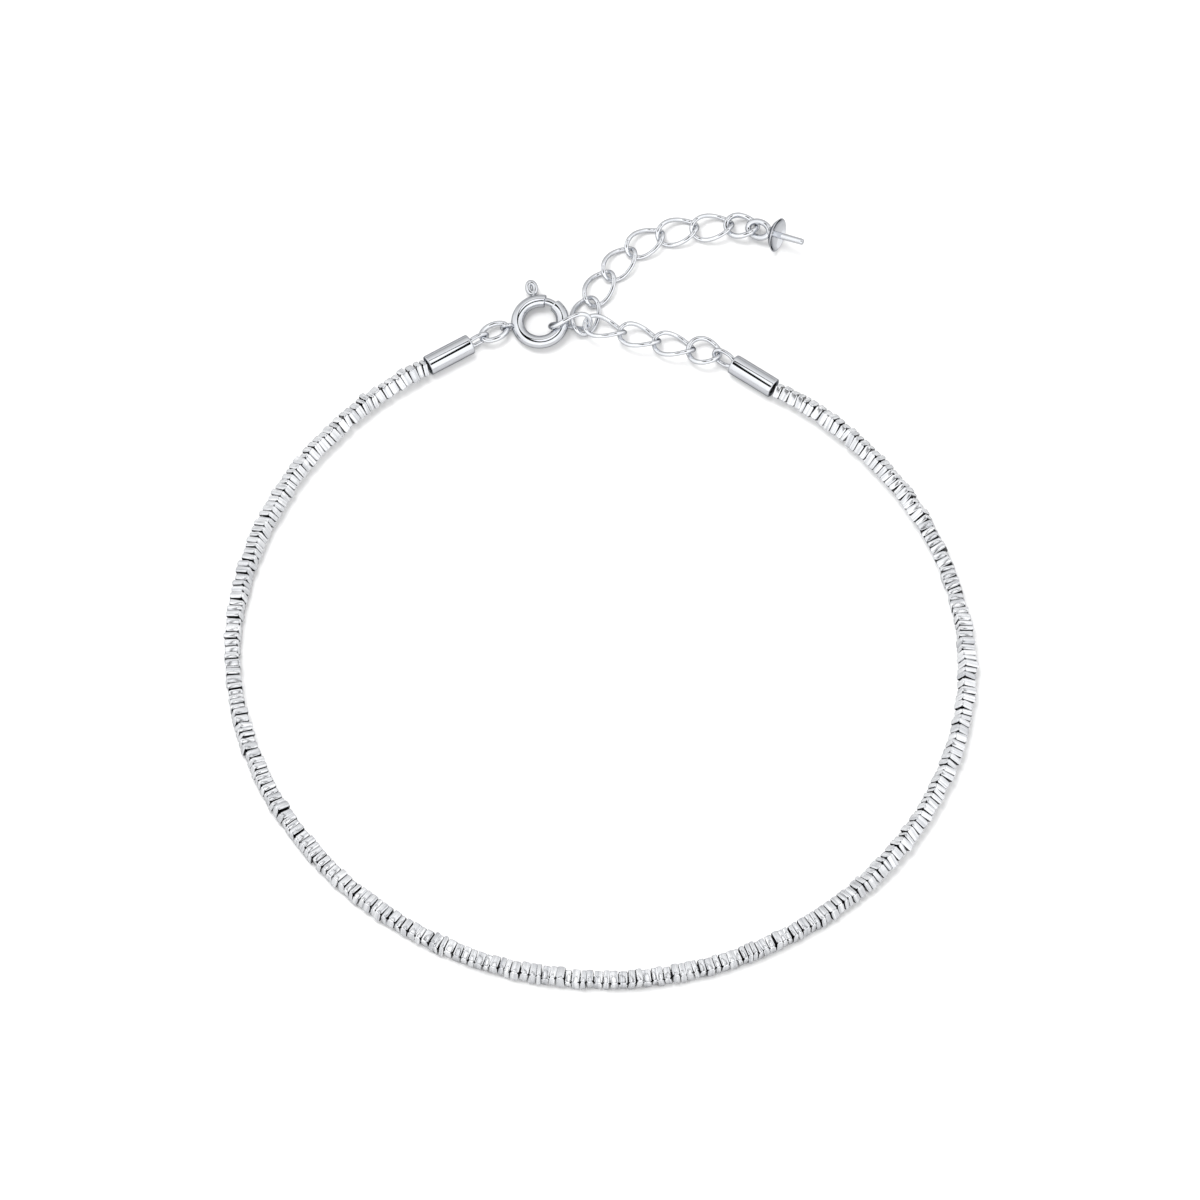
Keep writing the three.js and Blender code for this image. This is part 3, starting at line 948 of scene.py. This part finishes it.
def end_caps(tree, silver):
    for place in CAP_PLACES:
        at = Matrix.Translation((place.x, place.y, CAP_AXIS_HEIGHT)) @ turned_about("Z", place.heading)
        tube = moved(turned_mesh("tube", CAP_PROFILE, CAP_SIDES), at)
        loop_at = at @ Matrix.Translation((place.loop_reach, 0, 0)) @ turned_about("X", place.loop_roll)
        loop = bent_wire(tree, CAP_LOOP, silver, loop_at)
        solder = moved(solder_drop(CAP_SOLDER), at)
        mesh = joined(place.name + "_tube", [tube, loop, solder])
        add_piece(mesh, silver, "bracelet", place.name)


def clasp_section(deg, radius, sides):
    """Circle across the clasp's ring at an angle round it."""
    outward = Vector((math.cos(math.radians(deg)), math.sin(math.radians(deg)), 0))
    up = Vector((0, 0, 1))
    points = []
    for k in range(sides):
        angle = 2 * math.pi * k / sides
        points.append(outward * (CLASP_RADIUS + radius * math.cos(angle)) + up * radius * math.sin(angle))
    return points


def clasp_shell():
    """Hollow ring with rounded lips at its mouth."""
    start = MOUTH_TO
    end = MOUTH_FROM + 360
    wall = (CLASP_TUBE - CLASP_BORE) / 2
    lip = math.degrees(wall / CLASP_RADIUS)
    middle = (CLASP_TUBE + CLASP_BORE) / 2
    angles = [start + (end - start) * i / CLASP_STEPS for i in range(CLASP_STEPS + 1)]
    outer = [clasp_section(deg, CLASP_TUBE, CLASP_SIDES) for deg in angles]
    inner = [clasp_section(deg, CLASP_BORE, CLASP_SIDES) for deg in reversed(angles)]
    far_lip = []
    near_lip = []
    for turn in LIP_ANGLES:
        reach = lip * math.sin(math.radians(turn))
        radius = middle + wall * math.cos(math.radians(turn))
        far_lip.append(clasp_section(end + reach, radius, CLASP_SIDES))
        near_lip.insert(0, clasp_section(start - reach, radius, CLASP_SIDES))
    return lofted("shell", outer + far_lip + inner + near_lip, True)


def slot_cutter():
    """Curved bar through the ring's outer wall."""
    corners = [
        (SLOT_INNER_REACH, -SLOT_HALF_WIDTH),
        (SLOT_OUTER_REACH, -SLOT_HALF_WIDTH),
        (SLOT_OUTER_REACH, SLOT_HALF_WIDTH),
        (SLOT_INNER_REACH, SLOT_HALF_WIDTH),
    ]
    rings = []
    for i in range(SLOT_STEPS + 1):
        angle = math.radians(SLOT_FROM + (SLOT_TO - SLOT_FROM) * i / SLOT_STEPS)
        outward = Vector((math.cos(angle), math.sin(angle), 0))
        ring = []
        for reach, height in corners:
            spot = outward * (CLASP_RADIUS + reach)
            spot.z = height
            ring.append(spot)
        rings.append(ring)
    return lofted("slot", rings, False)


def cut(mesh, cutter):
    """Mesh with the cutter's shape taken out of it."""
    body = bpy.data.objects.new("body", mesh)
    tool = bpy.data.objects.new("tool", cutter)
    bpy.context.scene.collection.objects.link(body)
    bpy.context.scene.collection.objects.link(tool)
    knife = body.modifiers.new("knife", "BOOLEAN")
    knife.operation = "DIFFERENCE"
    knife.solver = "EXACT"
    knife.object = tool
    graph = bpy.context.evaluated_depsgraph_get()
    result = bpy.data.meshes.new_from_object(body.evaluated_get(graph), depsgraph=graph)
    bpy.data.objects.remove(body)
    bpy.data.objects.remove(tool)
    return result


def clasp_ring(tree, silver, at):
    shell = moved(smoothed(cut(clasp_shell(), slot_cutter()), SMOOTH_ANGLE), at)
    eye_turn = turned_about("Z", CLASP_EYE_DEG)
    eye_at = at @ eye_turn @ Matrix.Translation((CLASP_EYE_REACH, 0, 0)) @ turned_about("X", 90)
    eye = bent_wire(tree, CLASP_EYE, silver, eye_at)
    solder_at = at @ eye_turn @ Matrix.Translation((CLASP_SOLDER_REACH, 0, 0))
    solder = moved(solder_drop(CLASP_SOLDER), solder_at)
    ring = joined("clasp_ring_tube", [shell, eye, solder])
    add_piece(ring, silver, "bracelet", "clasp_ring")


def clasp_tongue(tree, silver, at):
    """Rod that shuts the ring's mouth, with the stem and loop that the thumb pulls."""
    angles = [TONGUE_FROM + (TONGUE_TO - TONGUE_FROM) * i / TONGUE_STEPS for i in range(TONGUE_STEPS + 1)]
    rod = lofted("rod", [clasp_section(deg, TONGUE_RADIUS, CLASP_SIDES) for deg in angles], False)
    rod = moved(smoothed(rod, SMOOTH_ANGLE), at)
    stem_turn = at @ turned_about("Z", STEM_DEG)
    stem_at = stem_turn @ Matrix.Translation((CLASP_RADIUS, 0, 0))
    stem = moved(turned_mesh("stem", STEM_PROFILE, STEM_SIDES), stem_at)
    thumb = bent_wire(tree, THUMB_LOOP, silver, stem_turn @ Matrix.Translation((THUMB_REACH, 0, 0)))
    trigger = joined("clasp_tongue", [rod, stem, thumb])
    add_piece(trigger, silver, "trigger", "clasp_trigger")


def pearl_cup(tree, silver):
    at = Matrix.Translation(CUP_MIDDLE) @ turned_about("Z", CUP_HEADING) @ turned_about("Y", -CUP_PITCH)
    dish = moved(turned_mesh("dish", CUP_PROFILE, CUP_SIDES), at)
    eye_at = at @ Matrix.Translation((-CUP_EYE_REACH, 0, 0)) @ turned_about("X", CUP_EYE_ROLL)
    eye = bent_wire(tree, CUP_EYE, silver, eye_at)
    cup = joined("pearl_cup_dish", [dish, eye])
    add_piece(cup, silver, "bracelet", "pearl_cup")


# Floor, light and camera


def floor_sheet(name, tone, depth):
    corners = [(-1, -1, 0), (1, -1, 0), (1, 1, 0), (-1, 1, 0)]
    mesh = mesh_of(name, [Vector(corner) * FLOOR_REACH_M for corner in corners], [(0, 1, 2, 3)])
    mesh.materials.append(floor_paper(name, tone))
    plane = bpy.data.objects.new(name, mesh)
    bpy.context.scene.collection.objects.link(plane)
    plane.location.z = -depth * MM
    return plane


def floor():
    """White sheet that the camera sees, and just over it the greyer one that the metal mirrors: a darker copy
    of the floor that paints darker reflections in the metal.
    """
    seen = floor_sheet("floor", FLOOR_TONE, FLOOR_DEPTH)
    mirrored = floor_sheet("floor_mirrored", MIRRORED_SHADE_TONE, MIRRORED_DEPTH)
    seen.visible_glossy = False
    mirrored.visible_camera = False
    mirrored.visible_diffuse = False
    mirrored.visible_shadow = False


def studio():
    """White sheet overhead, greyer towards the back, even at the sides, with a dark hoop round its top."""
    world = bpy.data.worlds.new("studio")
    bpy.context.scene.world = world
    world.use_nodes = True
    nodes = world.node_tree.nodes
    links = world.node_tree.links

    def calc(operation, *values):
        node = nodes.new("ShaderNodeMath")
        node.operation = operation
        for socket, value in zip(node.inputs, values):
            if isinstance(value, bpy.types.NodeSocket):
                links.new(value, socket)
            else:
                socket.default_value = value
        return node.outputs[0]

    def ranged(value, start, end, low=0.0, high=1.0, kind="SMOOTHSTEP"):
        """Low at the start of the value's range and high at its end."""
        node = nodes.new("ShaderNodeMapRange")
        node.interpolation_type = kind
        links.new(value, node.inputs["Value"])
        node.inputs["From Min"].default_value = start
        node.inputs["From Max"].default_value = end
        node.inputs["To Min"].default_value = low
        node.inputs["To Max"].default_value = high
        return node.outputs["Result"]

    direction = nodes.new("ShaderNodeTexCoord").outputs["Generated"]
    parts = nodes.new("ShaderNodeSeparateXYZ")
    links.new(direction, parts.inputs[0])
    x, y, z = parts.outputs
    ramp = nodes.new("ShaderNodeValToRGB")
    links.new(calc("DIVIDE", calc("ARCTAN2", z, y), math.pi), ramp.inputs["Fac"])
    while len(ramp.color_ramp.elements) < len(SHEET):
        ramp.color_ramp.elements.new(0.5)
    for element, stop in zip(ramp.color_ramp.elements, SHEET):
        element.position = stop.deg / 180
        element.color = (stop.value, stop.value, stop.value, 1)
    turned_away = ranged(calc("ABSOLUTE", x), SIDE_FROM, SIDE_TO)
    sheet_share = calc("MULTIPLY", ramp.outputs["Color"], calc("SUBTRACT", 1, turned_away))
    sheet = calc("ADD", sheet_share, calc("MULTIPLY", turned_away, SIDE_LEVEL))

    over_x = calc("DIVIDE", x, z)
    over_y = calc("DIVIDE", y, z)
    slope = calc("SQRT", calc("ADD", calc("MULTIPLY", over_x, over_x), calc("MULTIPLY", over_y, over_y)))
    half_width = ranged(
        over_y,
        HOOP_NARROWS_FROM,
        HOOP_NARROWS_TO,
        low=HOOP_HALF_WIDTH,
        high=HOOP_BACK_HALF_WIDTH,
        kind="LINEAR",
    )
    off_hoop = calc("ABSOLUTE", calc("SUBTRACT", slope, HOOP_RADIUS))
    dark = ranged(calc("DIVIDE", off_hoop, half_width), 1 + DARK_EDGE, 1 - DARK_EDGE)
    lit = calc("MULTIPLY", sheet, calc("SUBTRACT", 1 + DARK_LEVEL, dark))
    links.new(lit, nodes["Background"].inputs["Color"])
    nodes["Background"].inputs["Strength"].default_value = SHEET_STRENGTH


def key_light():
    lamp = bpy.data.lights.new("key", "SUN")
    lamp.energy = SUN_STRENGTH
    lamp.angle = math.radians(SUN_ANGLE)
    light = bpy.data.objects.new("key", lamp)
    bpy.context.scene.collection.objects.link(light)
    light.rotation_euler = SUN_HEADING.to_track_quat("-Z", "Y").to_euler()
    light.visible_glossy = False


def photo_camera():
    lens = bpy.data.cameras.new("photo_camera")
    lens.sensor_width = SENSOR_WIDTH
    lens.lens = SENSOR_WIDTH * VIEW_DISTANCE / FRAME_WIDTH
    lens.clip_start = CLIP_START_M
    lens.clip_end = CLIP_END_M
    camera = bpy.data.objects.new("photo_camera", lens)
    bpy.context.scene.collection.objects.link(camera)
    rise = math.radians(VIEW_ELEVATION)
    away = Vector((0, -math.cos(rise), math.sin(rise))) * VIEW_DISTANCE
    camera.location = TO_FRAME @ (VIEW_CENTRE + away)
    camera.rotation_euler = (math.pi / 2 - rise, 0, 0)
    bpy.context.scene.camera = camera


bpy.context.scene.view_settings.view_transform = "Standard"
photo_camera()
studio()
key_light()
floor()
wire_tree = bent_wire_tree()
tube_silver = bright_silver("tube_silver", TUBE_TONES)
# Lighter copy of the same silver for the wires, for painted brighter highlights
wire_silver = bright_silver("wire_silver", LIGHTER_WIRE_TONES)
string_path = thread_path()
string_beads = laid_beads(string_path)
bead_row(string_beads, bead_silver())
bead_thread(string_path, string_beads, thread_fibre())
chain(wire_tree, wire_silver)
end_caps(wire_tree, tube_silver)
clasp_place = Matrix.Translation(CLASP_MIDDLE) @ turned_about("Y", -CLASP_TILT)
clasp_ring(wire_tree, tube_silver, clasp_place)
clasp_tongue(wire_tree, tube_silver, clasp_place)
pearl_cup(wire_tree, tube_silver)
